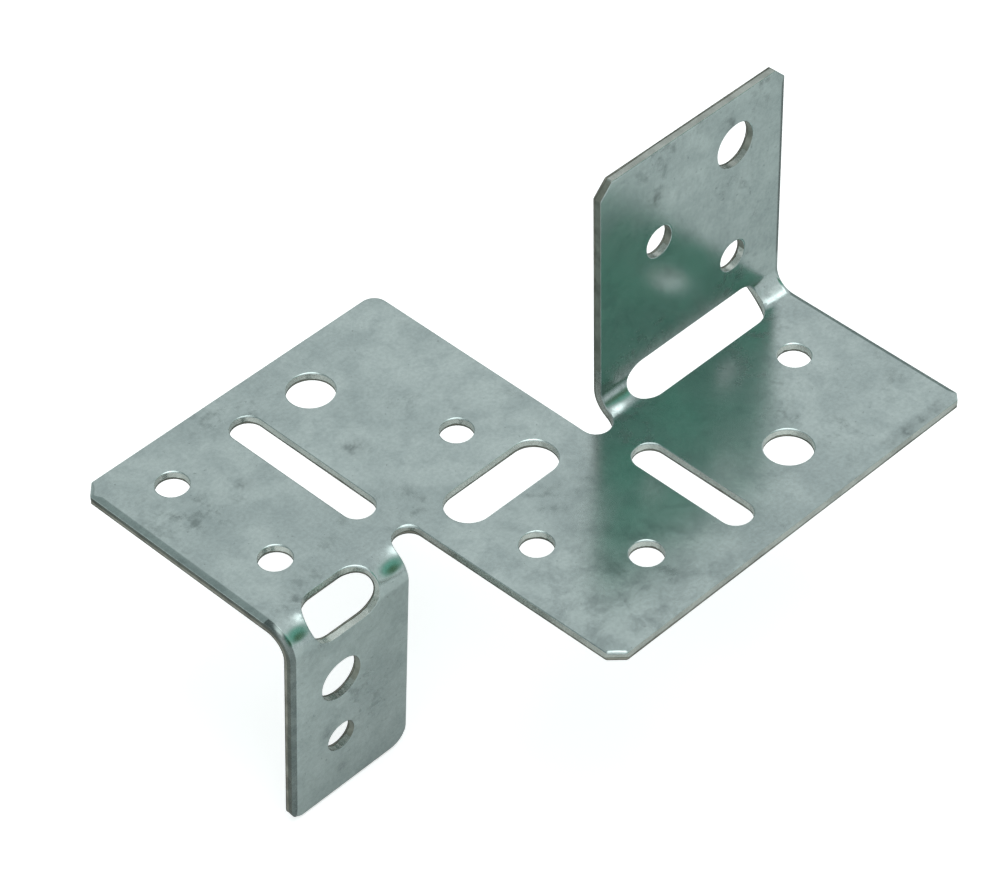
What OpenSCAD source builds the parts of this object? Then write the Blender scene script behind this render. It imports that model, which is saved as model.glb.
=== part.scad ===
// Corner brace bracket, folded from one sheet of galvanised steel.
//
// The blank is a rectangle with one slit let in from its back edge and one from its front
// edge. The strip right of the back slit folds up and the strip left of the front slit
// folds down, both about the same line across the blank. All holes, slots and edges are
// punched from the top face, so that face has soft rims and the other has sharp ones.
//
// The origin is the centre of the middle slot, on the plate's top face. X runs along the
// fold line towards the up leg's outer edge, Y runs to the back edge and Z points up.

/* [Sheet] */
// Thickness of the sheet
sheet_t = 1.5; // [1:0.1:2.5]
// Radius on the inside of both folds
fold_r = 3.5; // [2:0.5:5]
// Share of the thickness, from a fold's inside, where the sheet keeps its length
neutral_share = 0.42; // [0.3:0.01:0.5]
// Radius of the soft rim along every edge of the top face
rim_r = 0.3; // [0.1:0.05:0.5]

/* [Plate] */
// Distance from the fold line to the back edge
back_depth = 45; // [34:0.5:60]
// Distance from the fold line to the front edge
front_depth = 38.5; // [30:0.5:60]
// Size of the clip across the left and the near corner
corner_clip = 2.2; // [0.5:0.1:3]
// Size of the clip across the right corner
right_corner_clip = 1.2; // [0.5:0.1:3]
// Radius of the back plate's right corner
back_corner_r = 2.5; // [0.5:0.1:5]
// How far the front plate's left edge leans to the right over its length
front_lean = 0.7; // [0:0.05:2]

/* [Slits] */
// Width of the two slits, which end in a half circle
slit_w = 5.3; // [4.3:0.2:6.3]
// Distance from the middle slot's centre to the back slit
back_slit_reach = 16.75; // [14:0.05:20]
// Distance from the middle slot's centre to the front slit
front_slit_reach = 15.9; // [14:0.05:20]
// How far both slits run past the fold line
slit_past_fold = 4; // [3:0.1:6]

/* [Plate holes] */
// Diameter of the screw holes
screw_d = 5.5; // [3:0.1:6.5]
// Diameter of the bolt holes
bolt_d = 8; // [5:0.1:9]
// Distance from the left edge to the left column of screw holes
left_column = 10.4; // [8:0.1:12]
// Distance from the right edge to the right column of holes
right_column = 11; // [8:0.1:13]
// Distance from the middle slot's centre left to the back bolt hole and a screw hole
middle_column = 6.1; // [3:0.1:8]
// Distance from the middle slot's centre right to the back plate's inner screw hole
back_inner_x = 3.2; // [0:0.1:6]
// Distance from the middle slot's centre right to the front row's screw hole
front_inner_x = 3.9; // [0:0.1:8]
// Distance from the middle slot's centre right to the front bolt hole
front_bolt_x = 35.8; // [30:0.1:42]
// Distance from the back edge to the back row
back_row = 9.3; // [7:0.1:12]
// Distance from the fold line to the back plate's inner row
back_inner_row = 12.8; // [9:0.1:16]
// Distance from the front edge to the front row
front_row = 11.9; // [8:0.1:14]
// Distance from the fold line to the front plate's inner row
front_inner_row = 13.4; // [9:0.1:16]

/* [Plate slots] */
// Width of the two narrow slots
narrow_slot_w = 5.7; // [4:0.1:6.5]
// Distance from the middle slot's centre left to the back plate's narrow slot
back_slot_x = 18.9; // [16:0.1:23]
// Distance from the fold line to the near end of that slot
back_slot_start = 9.1; // [6:0.1:14]
// Distance from the back edge to the far end of that slot
back_slot_margin = 5.7; // [2:0.1:12]
// Distance from the middle slot's centre right to the front plate's narrow slot
front_slot_x = 19.6; // [16:0.1:24]
// Distance from the fold line to the near end of that slot
front_slot_start = 9.8; // [6:0.1:12]
// Distance from the front edge to the far end of that slot
front_slot_margin = 5.4; // [2:0.1:10]
// Width of the middle slot
wide_slot_w = 8; // [5:0.1:9]
// Length of the middle slot
middle_slot_l = 22; // [14:0.5:26]

/* [Up leg] */
// Width of the up leg
up_leg_w = 41; // [34:0.5:60]
// Length of the up leg's inner face from the fold line
up_leg_l = 44.1; // [40:0.1:70]
// Angle that the up leg is folded through, in degrees
up_fold_angle = 89.5; // [85:0.5:95]
// Size of the clip across the leg's outer corner
up_outer_clip = 2.1; // [0.5:0.1:3]
// Size of the clip across the leg's inner corner
up_inner_clip = 2.5; // [0.5:0.1:3]
// Distance from both edges of the leg to the ends of the slot across the up fold
up_slot_margin = 5.3; // [3:0.1:8]
// Distance from the leg's end to the bolt hole
up_bolt_drop = 9.3; // [7:0.1:12]
// Distance from the leg's end to the middle screw hole
up_middle_drop = 18.1; // [15:0.1:22]
// Distance from the leg's outer edge to the middle screw hole
up_middle_x = 28; // [22:0.5:32]
// Distance from the leg's end to the low screw hole
up_low_drop = 31.5; // [27:0.1:33]

/* [Down leg] */
// Width of the down leg
down_leg_w = 24.4; // [20:0.2:35]
// Length of the down leg's inner face from the fold line
down_leg_l = 40.1; // [36:0.1:60]
// Angle that the down leg is folded through, in degrees and a little past square
down_fold_angle = 93.4; // [85:0.2:95]
// Radius of the leg's outer corner
down_outer_r = 2; // [0.5:0.1:5]
// Radius of the leg's inner corner
down_inner_r = 3.2; // [0.5:0.1:5]
// Distance from the leg's outer edge to the slot across the down fold
down_slot_outer = 5; // [3:0.1:6]
// Distance from the leg's inner edge to that slot
down_slot_inner = 5.5; // [3:0.1:6]
// How far that slot's centre lies past the middle of the fold
down_slot_shift = 0.3; // [0:0.1:1]
// Distance from the leg's end to the bolt hole
down_bolt_drop = 25.3; // [20:0.1:27]
// Distance from the leg's end to the screw hole
down_screw_drop = 11.9; // [8:0.1:14]

/* [Hidden] */

// How far a punch reaches beyond the face that it enters or leaves
clear = 0.5;
// Overlap of two cuts that meet along a line
seam = 0.05;
// How far a leg's faces and edges are set in from the fold's, too little to see, so that
// the two meet at a clean edge
set_in = 0.001;
// Steps round the half circle of a slot that crosses a fold, and down its soft rim
round_steps = 20;
rim_steps = 3;
round_fn = 64;

neutral_r = fold_r + neutral_share * sheet_t;
slit_r = slit_w / 2;

// Flat distance from the fold line to where a fold starts
function setback(fold) = fold_r * tan(fold / 2);
// Length of the flat sheet that goes into a fold
function fold_length(fold) = neutral_r * fold * PI / 180;

// The left and the right edge of the blank, as seen from the middle slot's centre
left_reach = front_slit_reach + slit_w + down_leg_w;
right_reach = back_slit_reach + slit_w + up_leg_w;

up_start_y = -setback(up_fold_angle);
down_start_y = setback(down_fold_angle);

back_slit_x = back_slit_reach + slit_r;
back_slit_y = slit_r - slit_past_fold;
front_slit_x = -front_slit_reach - slit_r;
front_slit_y = slit_past_fold - slit_r;
front_left = front_lean - front_slit_reach;

back_row_y = back_depth - back_row;
front_row_y = front_row - front_depth;

back_slot_l = back_depth - back_slot_start - back_slot_margin;
back_slot_y = back_slot_start + back_slot_l / 2;
front_slot_l = front_depth - front_slot_start - front_slot_margin;
front_slot_y = -front_slot_start - front_slot_l / 2;
up_slot_l = up_leg_w - 2 * up_slot_margin;
down_slot_l = down_leg_w - down_slot_outer - down_slot_inner;

// Every plate hole: diameter, x and y
plate_holes = [
    [bolt_d, -middle_column, back_row_y],
    [screw_d, left_column - left_reach, back_row_y],
    [screw_d, left_column - left_reach, back_inner_row],
    [screw_d, back_inner_x, back_inner_row],
    [screw_d, -middle_column, -front_inner_row],
    [screw_d, right_reach - right_column, -front_inner_row],
    [screw_d, front_inner_x, front_row_y],
    [bolt_d, front_bolt_x, front_row_y],
];

// Edges of the top face that are straight, as chains with the sheet on their left
front_chain = [
    [-front_slit_reach, front_slit_y],
    [front_left, corner_clip - front_depth],
    [front_left + corner_clip, -front_depth],
    [right_reach - right_corner_clip, -front_depth],
    [right_reach, right_corner_clip - front_depth],
    [right_reach, up_start_y],
];
inner_chain = [
    [back_slit_reach, back_slit_y],
    [back_slit_reach, back_depth - back_corner_r],
];
back_chain = [
    [back_slit_reach - back_corner_r, back_depth],
    [corner_clip - left_reach, back_depth],
    [-left_reach, back_depth - corner_clip],
    [-left_reach, down_start_y],
];

// Section of what is cut away along an edge: the wall is at x = 0, the top face at y = 0
// and the sheet lies at x > 0
module rim_section(r = rim_r) {
    difference() {
        translate([-clear, -r])
            square([clear + r, r + clear]);
        translate([r, -r])
            circle(r, $fn = round_fn);
    }
}

// Soft rims along a chain of straight edges. Its inner corners are mitred, and each end
// of the chain runs on by the given amount.
module rim_chain(points, first = seam, end = seam, r = rim_r) {
    last = len(points) - 1;
    for (i = [1:last]) {
        run = points[i] - points[i - 1];
        before = i == 1 ? first : clear;
        after = i == last ? end : clear;
        translate(points[i - 1])
            rotate([0, 0, atan2(run.y, run.x)])
                translate([-before, 0, 0])
                    rotate([90, 0, 90])
                        linear_extrude(before + norm(run) + after)
                            rim_section(r);
    }
}

// Soft rim round a hole of radius r, or round part of it
module hollow_rim(r, angle = 360) {
    rotate_extrude(angle = angle, $fn = round_fn)
        translate([r, 0])
            rim_section();
}

// Soft rim of radius rim round an outer corner of radius r
module corner_rim(r, rim = rim_r) {
    rotate_extrude(angle = 90, $fn = round_fn)
        translate([r, 0])
            mirror([1, 0])
                rim_section(rim);
}

// What the punch takes out for a round hole
module punched_hole(d) {
    translate([0, 0, -sheet_t - clear])
        cylinder(h = sheet_t + 2 * clear, d = d, $fn = round_fn);
    hollow_rim(d / 2);
}

// What the punch takes out for a straight slot along x
module punched_slot(length, width) {
    straight = length - width;
    for (side = [-1, 1])
        translate([side * straight / 2, 0, 0])
            punched_hole(width);
    translate([-straight / 2, -width / 2, -sheet_t - clear])
        cube([straight, width, sheet_t + 2 * clear]);
    rim_chain([[-straight / 2, width / 2], [straight / 2, width / 2]]);
    rim_chain([[straight / 2, -width / 2], [-straight / 2, -width / 2]]);
}

// A fold is drawn with its start along x at the origin. The flat strip comes from y < 0,
// its inner face is at z = 0 and it turns up. The strip's outer edge is at x = 0 and the
// slit runs along its other edge, at x < 0.

// Where a point of the flat strip lies after folding: s is how far it is past the start
// of the fold and depth is how far it is below the inner face
function folded(x, s, depth, fold) =
    let (turned = min(max(s / neutral_r * 180 / PI, 0), fold),
         past = s < 0 ? s : max(s - fold_length(fold), 0),
         r = fold_r + depth)
    [x, r * sin(turned) + past * cos(turned), fold_r - r * cos(turned) + past * sin(turned)];

// Layers of a cut from the inner face to the outer one: depth and how far the cut is
// widened there to leave a soft rim. The rim's first facet runs on past the face.
function inner_rim_layers() =
    let (first = 90 * (1 - 1 / rim_steps),
         fall = rim_r * (1 - sin(first)),
         run = rim_r * cos(first))
    concat(
        [[-clear, rim_r + run], [-fall, rim_r + run]],
        [for (i = [1:rim_steps])
            let (a = 90 * (1 - i / rim_steps))
            [rim_r * (1 - sin(a)), rim_r * (1 - cos(a))]],
        [[sheet_t + clear, 0]]);
function rim_layers(rim_inside) =
    let (layers = inner_rim_layers(), last = len(layers) - 1)
    rim_inside ? layers : [for (i = [last:-1:0]) [sheet_t - layers[i][0], layers[i][1]]];

// Rows of a slot across a fold: left x, right x and s
function slot_rows(centre_x, centre_s, length, r, grow) = [
    for (i = [0:round_steps])
        let (a = 180 * i / round_steps,
             half = length / 2 - r + (r + grow) * sin(a))
        [centre_x - half, centre_x + half, centre_s - (r + grow) * cos(a)]];

// Rows of the slit beside a strip: the half circle at its end, then its straight wall
function slit_rows(strip_w, centre_s, fold, grow) = concat(
    [for (i = [0:round_steps / 2])
        let (a = 180 * i / round_steps)
        [-strip_w - slit_r - seam,
         -strip_w - slit_r + (slit_r + grow) * sin(a),
         centre_s - (slit_r + grow) * cos(a)]],
    [[-strip_w - slit_r - seam, -strip_w + grow, fold_length(fold) + seam]]);

// Solid that follows the fold, from one list of rows for each layer
module folded_cut(layers, rows, fold) {
    n = len(rows[0]);
    last = len(layers) - 1;
    function at(k, i, side) = (k * n + i) * 2 + side;
    points = [
        for (k = [0:last])
            for (row = rows[k])
                for (side = [0, 1])
                    folded(row[side], row[2], layers[k][0], fold)];
    caps = [
        for (i = [0:n - 2])
            for (face = [
                [at(0, i, 0), at(0, i + 1, 0), at(0, i + 1, 1), at(0, i, 1)],
                [at(last, i, 0), at(last, i, 1), at(last, i + 1, 1), at(last, i + 1, 0)]])
                face];
    ends = [
        for (k = [0:last - 1])
            for (face = [
                [at(k, 0, 0), at(k, 0, 1), at(k + 1, 0, 1), at(k + 1, 0, 0)],
                [at(k, n - 1, 1), at(k, n - 1, 0), at(k + 1, n - 1, 0), at(k + 1, n - 1, 1)]])
                face];
    walls = [
        for (k = [0:last - 1])
            for (i = [0:n - 2])
                for (face = [
                    [at(k, i + 1, 0), at(k, i, 0), at(k + 1, i, 0)],
                    [at(k, i + 1, 0), at(k + 1, i, 0), at(k + 1, i + 1, 0)],
                    [at(k, i, 1), at(k, i + 1, 1), at(k + 1, i + 1, 1)],
                    [at(k, i, 1), at(k + 1, i + 1, 1), at(k + 1, i, 1)]])
                    face];
    polyhedron(points = points, faces = concat(caps, ends, walls));
}

// What the punch takes out for a slot across a fold
module fold_slot(centre_x, shift, length, fold, rim_inside) {
    layers = rim_layers(rim_inside);
    centre_s = fold_length(fold) / 2 + shift;
    rows = [
        for (layer = layers)
            slot_rows(centre_x, centre_s, length, wide_slot_w / 2, layer[1])];
    folded_cut(layers, rows, fold);
}

// What the slit takes out of the strip that is folded
module fold_slit(strip_w, fold, rim_inside) {
    layers = rim_layers(rim_inside);
    centre_s = slit_r - slit_past_fold + setback(fold);
    rows = [
        for (layer = layers)
            slit_rows(strip_w, centre_s, fold, layer[1])];
    folded_cut(layers, rows, fold);
}

// Moves to the flat part of a leg: x = 0 is its outer edge, y = 0 is the end of the fold,
// z = 0 is its inner face and the sheet lies below
module on_leg(fold) {
    translate([0, 0, fold_r])
        rotate([fold, 0, 0])
            translate([0, 0, -fold_r])
                children();
}

// The curved part of a strip: a pipe's wall between the plane where the fold starts and
// the plane where it ends. It begins inside the slit's half circle.
module fold_arc(strip_w, fold) {
    outer_r = fold_r + sheet_t;
    arc_w = strip_w + slit_r / 2;
    difference() {
        translate([-arc_w, 0, fold_r])
            rotate([0, 90, 0])
                difference() {
                    cylinder(h = arc_w, r = outer_r, $fn = round_fn);
                    translate([0, 0, -clear])
                        cylinder(h = arc_w + 2 * clear, r = fold_r, $fn = round_fn);
                }
        translate([-arc_w - clear, -2 * outer_r, -2 * outer_r])
            cube([arc_w + 2 * clear, 2 * outer_r, 4 * outer_r]);
        on_leg(fold)
            translate([-arc_w - clear, 0, -2 * outer_r])
                cube([arc_w + 2 * clear, 2 * outer_r, 4 * outer_r]);
    }
}

// Soft rim along the outer edge of the curved part
module fold_rim(fold, rim_inside) {
    translate([0, 0, fold_r])
        rotate([0, 90, 0])
            rotate_extrude(angle = fold, $fn = round_fn)
                translate([rim_inside ? fold_r : fold_r + sheet_t, 0])
                    mirror([rim_inside ? 1 : 0, 0])
                        rotate(-90)
                            rim_section();
}

// Turns what is punched from the inner face into what is punched from the outer one
module punched_from(rim_inside) {
    if (rim_inside)
        children();
    else
        translate([0, 0, -sheet_t])
            mirror([0, 0, 1])
                children();
}

// Places a strip that folds up at the right end of the plate
module up_place() {
    translate([right_reach, up_start_y, 0])
        children();
}

// Places a strip that folds down at the left end of the plate
module down_place() {
    translate([-left_reach, down_start_y, -sheet_t])
        mirror([1, 0, 0])
            rotate([180, 0, 0])
                children();
}

up_flat = up_leg_l - setback(up_fold_angle);
down_flat = down_leg_l - setback(down_fold_angle);
up_inner_x = set_in - up_leg_w;
down_inner_x = set_in - down_leg_w;
leg_rim_r = rim_r - set_in;
// Centres of the down leg's round corners
down_outer_corner = [-set_in - down_outer_r, down_flat - down_outer_r];
down_inner_corner = [down_inner_x + down_inner_r, down_flat - down_inner_r];

// Outlines of the legs' flat parts, from the outer edge round the end to the slit's wall
up_chain = [
    [-set_in, 0],
    [-set_in, up_flat - up_outer_clip],
    [-up_outer_clip, up_flat],
    [up_inner_x + up_inner_clip, up_flat],
    [up_inner_x, up_flat - up_inner_clip],
    [up_inner_x, 0],
];
down_outer_chain = [
    [-set_in, 0],
    [-set_in, down_outer_corner.y],
];
down_end_chain = [
    [down_outer_corner.x, down_flat],
    [down_inner_corner.x, down_flat],
];
down_inner_chain = [
    [down_inner_x, down_inner_corner.y],
    [down_inner_x, 0],
];

module plate_outline() {
    difference() {
        union() {
            polygon(concat(
                front_chain,
                [[back_slit_x, up_start_y], [back_slit_x, back_slit_y]],
                inner_chain,
                back_chain,
                [[front_slit_x, down_start_y], [front_slit_x, front_slit_y]]));
            translate([back_slit_reach - back_corner_r, back_depth - back_corner_r])
                circle(back_corner_r, $fn = round_fn);
        }
        translate([back_slit_x, back_slit_y])
            circle(slit_r, $fn = round_fn);
        translate([front_slit_x, front_slit_y])
            circle(slit_r, $fn = round_fn);
    }
}

module down_outline() {
    polygon(concat(down_outer_chain, down_end_chain, down_inner_chain));
    translate(down_outer_corner)
        circle(down_outer_r, $fn = round_fn);
    translate(down_inner_corner)
        circle(down_inner_r, $fn = round_fn);
}

// The folded sheet before it is punched
module folded_sheet() {
    translate([0, 0, -sheet_t])
        linear_extrude(sheet_t)
            plate_outline();
    up_place() {
        fold_arc(up_leg_w, up_fold_angle);
        on_leg(up_fold_angle)
            translate([0, 0, set_in - sheet_t])
                linear_extrude(sheet_t - 2 * set_in)
                    polygon(up_chain);
    }
    down_place() {
        fold_arc(down_leg_w, down_fold_angle);
        on_leg(down_fold_angle)
            translate([0, 0, set_in - sheet_t])
                linear_extrude(sheet_t - 2 * set_in)
                    down_outline();
    }
}

module plate_punching() {
    for (hole = plate_holes)
        translate([hole[1], hole[2], 0])
            punched_hole(hole[0]);
    punched_slot(middle_slot_l, wide_slot_w);
    translate([-back_slot_x, back_slot_y, 0])
        rotate([0, 0, 90])
            punched_slot(back_slot_l, narrow_slot_w);
    translate([front_slot_x, front_slot_y, 0])
        rotate([0, 0, 90])
            punched_slot(front_slot_l, narrow_slot_w);
}

module plate_rims() {
    rim_chain(front_chain);
    rim_chain(inner_chain);
    rim_chain(back_chain);
    translate([back_slit_reach - back_corner_r, back_depth - back_corner_r, 0])
        corner_rim(back_corner_r);
    translate([back_slit_x, back_slit_y, 0])
        rotate([0, 0, 180])
            hollow_rim(slit_r, 90);
    translate([front_slit_x, front_slit_y, 0])
        hollow_rim(slit_r, 90);
}

module leg_rims() {
    up_place() {
        fold_rim(up_fold_angle, true);
        on_leg(up_fold_angle)
            translate([0, 0, -set_in])
                rim_chain(up_chain, 0, 0, leg_rim_r);
    }
    down_place() {
        fold_rim(down_fold_angle, false);
        on_leg(down_fold_angle)
            punched_from(false)
                translate([0, 0, -set_in]) {
                    rim_chain(down_outer_chain, 0, seam, leg_rim_r);
                    rim_chain(down_end_chain, seam, seam, leg_rim_r);
                    rim_chain(down_inner_chain, seam, 0, leg_rim_r);
                    translate(down_outer_corner)
                        corner_rim(down_outer_r, leg_rim_r);
                    translate(down_inner_corner)
                        rotate([0, 0, 90])
                            corner_rim(down_inner_r, leg_rim_r);
                }
    }
}

module leg_punching() {
    up_place()
        on_leg(up_fold_angle) {
            translate([-right_column, up_flat - up_bolt_drop, 0])
                punched_hole(bolt_d);
            translate([-up_middle_x, up_flat - up_middle_drop, 0])
                punched_hole(screw_d);
            translate([-right_column, up_flat - up_low_drop, 0])
                punched_hole(screw_d);
        }
    down_place()
        on_leg(down_fold_angle)
            punched_from(false) {
                translate([-left_column, down_flat - down_bolt_drop, 0])
                    punched_hole(bolt_d);
                translate([-left_column, down_flat - down_screw_drop, 0])
                    punched_hole(screw_d);
            }
}

module fold_slits() {
    up_place()
        fold_slit(up_leg_w, up_fold_angle, true);
    down_place()
        fold_slit(down_leg_w, down_fold_angle, false);
}

module fold_slots() {
    up_place()
        fold_slot(-up_slot_margin - up_slot_l / 2, 0, up_slot_l, up_fold_angle, true);
    down_place()
        fold_slot(
            -down_slot_outer - down_slot_l / 2, down_slot_shift, down_slot_l,
            down_fold_angle, false);
}

// The slits are cut before the rims that run into them
module slit_sheet() {
    difference() {
        folded_sheet();
        fold_slits();
    }
}

module rimmed_sheet() {
    difference() {
        slit_sheet();
        plate_rims();
        leg_rims();
    }
}

module bracket() {
    color([0.68, 0.72, 0.71])
        difference() {
            rimmed_sheet();
            plate_punching();
            leg_punching();
            fold_slots();
        }
}

bracket();
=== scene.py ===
# %% [markdown]
# # A folded corner brace bracket
#
# This lesson dresses one small part: a bracket punched and folded from a single galvanised
# sheet. The CAD model is loaded first, as a fixed frame in metres, and is never moved or
# changed. The bracket could keep the CAD mesh with a new material, but that mesh has the
# long thin triangles of a machine drawing, and a punched edge has more to show than a drawing
# gives. So the sheet is made again here the way a workshop makes it: flat, punched, and then
# folded.

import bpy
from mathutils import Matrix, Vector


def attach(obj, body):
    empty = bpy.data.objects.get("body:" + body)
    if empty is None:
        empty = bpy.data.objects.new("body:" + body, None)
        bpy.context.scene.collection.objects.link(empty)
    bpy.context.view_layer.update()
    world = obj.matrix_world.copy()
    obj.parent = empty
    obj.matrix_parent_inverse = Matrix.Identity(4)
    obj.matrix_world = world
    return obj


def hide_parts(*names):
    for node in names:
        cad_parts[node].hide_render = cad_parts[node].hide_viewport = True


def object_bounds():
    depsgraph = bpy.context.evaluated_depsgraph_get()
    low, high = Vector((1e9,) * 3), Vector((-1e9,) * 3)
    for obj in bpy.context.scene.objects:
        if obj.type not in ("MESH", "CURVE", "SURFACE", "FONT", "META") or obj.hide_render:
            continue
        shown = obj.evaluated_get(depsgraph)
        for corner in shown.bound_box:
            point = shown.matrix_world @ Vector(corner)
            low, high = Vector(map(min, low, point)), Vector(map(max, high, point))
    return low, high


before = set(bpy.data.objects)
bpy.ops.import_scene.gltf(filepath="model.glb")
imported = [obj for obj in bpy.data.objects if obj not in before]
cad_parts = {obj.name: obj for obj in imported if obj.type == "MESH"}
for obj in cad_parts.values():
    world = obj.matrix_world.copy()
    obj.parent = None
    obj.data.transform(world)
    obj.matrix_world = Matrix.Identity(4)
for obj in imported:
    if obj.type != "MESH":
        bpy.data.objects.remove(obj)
cad_box = [list(corner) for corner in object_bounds()]

import math
import random
from collections import Counter

import bmesh
import bpy
from mathutils import Matrix, Vector
from mathutils.geometry import delaunay_2d_cdt

MM = 0.001


def in_mm(box):
    return [[round(c / MM, 2) for c in corner] for corner in box]


print("CAD nodes:", sorted(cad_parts))
print("CAD box in mm:", in_mm(cad_box))

# %% [markdown]
# ## The view
#
# The photograph was taken with a long lens, from above and to the left of the bracket, at
# 45 degrees to both of its sides. Such a lens keeps parallel edges almost parallel. The
# camera's place could be found by trial, but here it was worked out from the corners and
# holes that the photograph shows, so it is written down as a point, a line of sight and a
# small roll. The lens is in millimetres on Blender's usual 36 mm wide sensor.

# %% Camera
CAMERA_AT = Vector((-0.3125, -0.31365, 0.4284))
LINE_OF_SIGHT = Vector((0.51175, 0.51390, -0.68849))
ROLL_DEGREES = -0.9625
LENS_MM = 145.73
NEAREST, FARTHEST = 0.01, 20


def make_camera():
    data = bpy.data.cameras.new("long_lens")
    data.lens = LENS_MM
    data.clip_start, data.clip_end = NEAREST, FARTHEST
    camera = bpy.data.objects.new("long_lens", data)
    bpy.context.scene.collection.objects.link(camera)
    facing = LINE_OF_SIGHT.to_track_quat("-Z", "Y").to_matrix().to_4x4()
    roll = Matrix.Rotation(math.radians(ROLL_DEGREES), 4, "Z")
    camera.matrix_world = Matrix.Translation(CAMERA_AT) @ facing @ roll
    bpy.context.scene.camera = camera


make_camera()
print("camera at", [round(c, 4) for c in CAMERA_AT], "with a", LENS_MM, "mm lens")

# %% [markdown]
# ## The sizes of the sheet
#
# Every size below is the CAD model's, in millimetres. The origin is the centre of the slot
# in the middle of the plate, on its top face. A sheet that is bent keeps its length only on
# one surface inside it, a little nearer to the inside of the bend. That surface's radius
# says how long each fold is while the sheet is still flat. A leg's reach is measured from
# the plate's top face for the leg that goes up, and from its underside for the other.

# %% Sizes
SHEET_T = 1.5
FOLD_R = 3.5
NEUTRAL_SHARE = 0.42
NEUTRAL_R = FOLD_R + NEUTRAL_SHARE * SHEET_T
BACK, FRONT, LEFT, RIGHT = 45.0, -38.5, -45.6, 63.05
SLIT_R = 2.65
BACK_SLIT = (19.4, -1.35)
FRONT_SLIT = (-18.55, 1.35)
UP_LEG_LEFT, BACK_PLATE_RIGHT = BACK_SLIT[0] + SLIT_R, BACK_SLIT[0] - SLIT_R
DOWN_LEG_RIGHT, FRONT_PLATE_LEFT = FRONT_SLIT[0] - SLIT_R, FRONT_SLIT[0] + SLIT_R
UP_FOLD, DOWN_FOLD = math.radians(89.5), math.radians(93.4)
UP_REACH, DOWN_REACH = 44.1, 40.1
UP_START = -FOLD_R * math.tan(UP_FOLD / 2)
DOWN_START = FOLD_R * math.tan(DOWN_FOLD / 2)
UP_END = UP_START + NEUTRAL_R * UP_FOLD + UP_REACH + UP_START
DOWN_END = DOWN_START - NEUTRAL_R * DOWN_FOLD - (DOWN_REACH - DOWN_START)
print("the strips of the flat blank end at y =", round(DOWN_END, 2), "and", round(UP_END, 2), "mm")

# %% [markdown]
# ## The flat blank
#
# On the real object the press first cuts the outline with its two slits, then punches the
# holes. A loop of points stands for each of these cuts. It would be possible to use a
# boolean for each hole, but loops give full control of the edges, which is where a punched
# part shows how it was made. Each loop is walked with the sheet on its left, so the outline
# goes round one way and the holes the other. Corners are rounded a little, because no
# real corner is perfectly sharp. The left edge of the front plate leans a little, so its
# clipped corner lies further right than the slit.

# %% Round shapes
ARC_STEP = math.radians(7.5)


def arc(centre, radius, start, turn):
    """Points on part of a circle. A negative turn goes clockwise."""
    steps = max(2, round(abs(turn) / ARC_STEP))
    return [
        (centre[0] + radius * math.cos(start + turn * i / steps),
         centre[1] + radius * math.sin(start + turn * i / steps))
        for i in range(steps + 1)
    ]


def rounded(corner, before, after, radius):
    """A corner of the outline, rounded to the given radius."""
    c = Vector(corner)
    a, b = (Vector(before) - c).normalized(), (Vector(after) - c).normalized()
    half = a.angle(b) / 2
    centre = c + (a + b).normalized() * (radius / math.sin(half))
    reach = radius / math.tan(half)
    first, last = c + a * reach - centre, c + b * reach - centre
    start = math.atan2(first.y, first.x)
    turn = (math.atan2(last.y, last.x) - start + math.pi) % (2 * math.pi) - math.pi
    return arc(centre, radius, start, turn)


print("a half circle has", len(arc((0, 0), SLIT_R, 0, math.pi)), "points")

# %% Outline
FRONT_LEAN = 0.7
NEAR_CLIP, RIGHT_CLIP, LEFT_CLIP = 2.2, 1.2, 2.2
UP_RIGHT_CLIP, UP_LEFT_CLIP = 2.1, 2.5
NEAR_X = FRONT_PLATE_LEFT + FRONT_LEAN
CORNERS = [
    # x, y and radius of a corner, or the centre of a slit's round end
    (NEAR_X, FRONT + NEAR_CLIP, 0.65), (NEAR_X + NEAR_CLIP, FRONT, 0.65),
    (RIGHT - RIGHT_CLIP, FRONT, 0.3), (RIGHT, FRONT + RIGHT_CLIP, 0.4),
    (RIGHT, UP_END - UP_RIGHT_CLIP, 0.4), (RIGHT - UP_RIGHT_CLIP, UP_END, 0.4),
    (UP_LEG_LEFT + UP_LEFT_CLIP, UP_END, 0.5), (UP_LEG_LEFT, UP_END - UP_LEFT_CLIP, 0.5),
    BACK_SLIT,
    (BACK_PLATE_RIGHT, BACK, 2.5),
    (LEFT + LEFT_CLIP, BACK, 0.4), (LEFT, BACK - LEFT_CLIP, 0.7),
    (LEFT, DOWN_END, 2.0), (DOWN_LEG_RIGHT, DOWN_END, 3.2),
    FRONT_SLIT,
]
SLIT_ENDS = {
    BACK_SLIT: arc(BACK_SLIT, SLIT_R, 0, -math.pi),
    FRONT_SLIT: arc(FRONT_SLIT, SLIT_R, math.pi, -math.pi),
}


def outline():
    points = []
    for i, corner in enumerate(CORNERS):
        if corner in SLIT_ENDS:
            points += SLIT_ENDS[corner]
            continue
        before, after = CORNERS[i - 1], CORNERS[(i + 1) % len(CORNERS)]
        before = SLIT_ENDS.get(before, [before])[-1][:2]
        after = SLIT_ENDS.get(after, [after])[0][:2]
        points += rounded(corner[:2], before, after, corner[2])
    return points


outer_corners = [corner for corner in CORNERS if corner not in SLIT_ENDS]
loops = [outline()]
print("outline:", len(outer_corners), "corners,", len(loops[0]), "points")

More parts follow.
